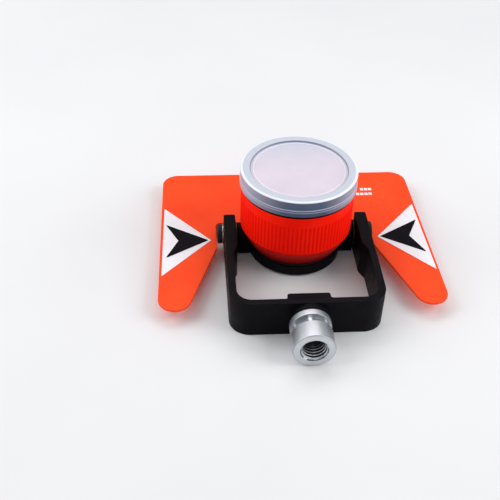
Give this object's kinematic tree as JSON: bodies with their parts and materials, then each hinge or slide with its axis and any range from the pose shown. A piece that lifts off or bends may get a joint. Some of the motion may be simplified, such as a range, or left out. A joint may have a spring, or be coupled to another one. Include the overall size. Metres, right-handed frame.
{
  "type": "survey_prism",
  "caption": "Tilting survey prism: an orange canister with a corner-cube reflector and frosted dust cap in a winged sighting target, carried in a black U yoke on an aluminium pole socket.",
  "frame": {"origin": "the centre of the bounding box's base: the part lies on the back of its yoke, under the middle of its length and width", "axes": "+Z is the prism's optical axis, towards what it is sighted from; +X runs along the tilt axis, to the right as seen from the front; -Y points out of the pole socket"},
  "size_m": [0.1814, 0.1804, 0.0653],
  "materials": {
    "black_satin": "satin",
    "turned_aluminium": "satin",
    "black_steel": "satin",
    "stainless_steel": "satin",
    "bearing_bronze": "satin",
    "orange_plate": "satin",
    "orange_canister": "gloss",
    "white_mark": "satin",
    "black_mark": "satin",
    "optical_glass": "gloss",
    "black_rubber": "matte",
    "frosted_cap": "satin"
  },
  "bodies": {
    "yoke": {"yoke": "black_satin", "pole_socket": "turned_aluminium", "socket_bolt": "black_steel", "socket_washer": "stainless_steel", "pivot_bush_left": "bearing_bronze", "pivot_bush_right": "bearing_bronze"},
    "target": {"tilt_ring": "black_satin", "target_plate": "orange_plate", "plate_screw_1": "stainless_steel", "plate_screw_2": "stainless_steel", "plate_screw_3": "stainless_steel", "plate_screw_4": "stainless_steel", "arrow_panel_left": "white_mark", "arrow_panel_right": "white_mark", "arrow_left": "black_mark", "arrow_right": "black_mark", "pivot_washer_left": "stainless_steel", "pivot_washer_right": "stainless_steel", "pivot_screw_left": "black_steel", "pivot_screw_right": "black_steel"},
    "canister": {"canister_shell": "orange_canister", "corner_cube": "optical_glass", "front_gasket": "black_rubber", "retaining_ring": "black_satin", "rear_cushion": "black_rubber", "rear_cover": "black_satin"},
    "cap": {"dust_cap": "frosted_cap"}
  },
  "joints": [
    {"name": "target_tilt", "type": "hinge", "parent": "yoke", "child": "target", "pos_m": [0, 0.0189, 0.0127], "axis": [-1, 0, 0], "range_deg": [-131.5, 100]},
    {"name": "canister_unscrew", "type": "slide", "parent": "target", "child": "canister", "axis": [0, 0, 1], "range_m": [0, 0.04]},
    {"name": "cap_pull", "type": "slide", "parent": "canister", "child": "cap", "axis": [0, 0, 1], "range_m": [0, 0.03]}
  ]
}
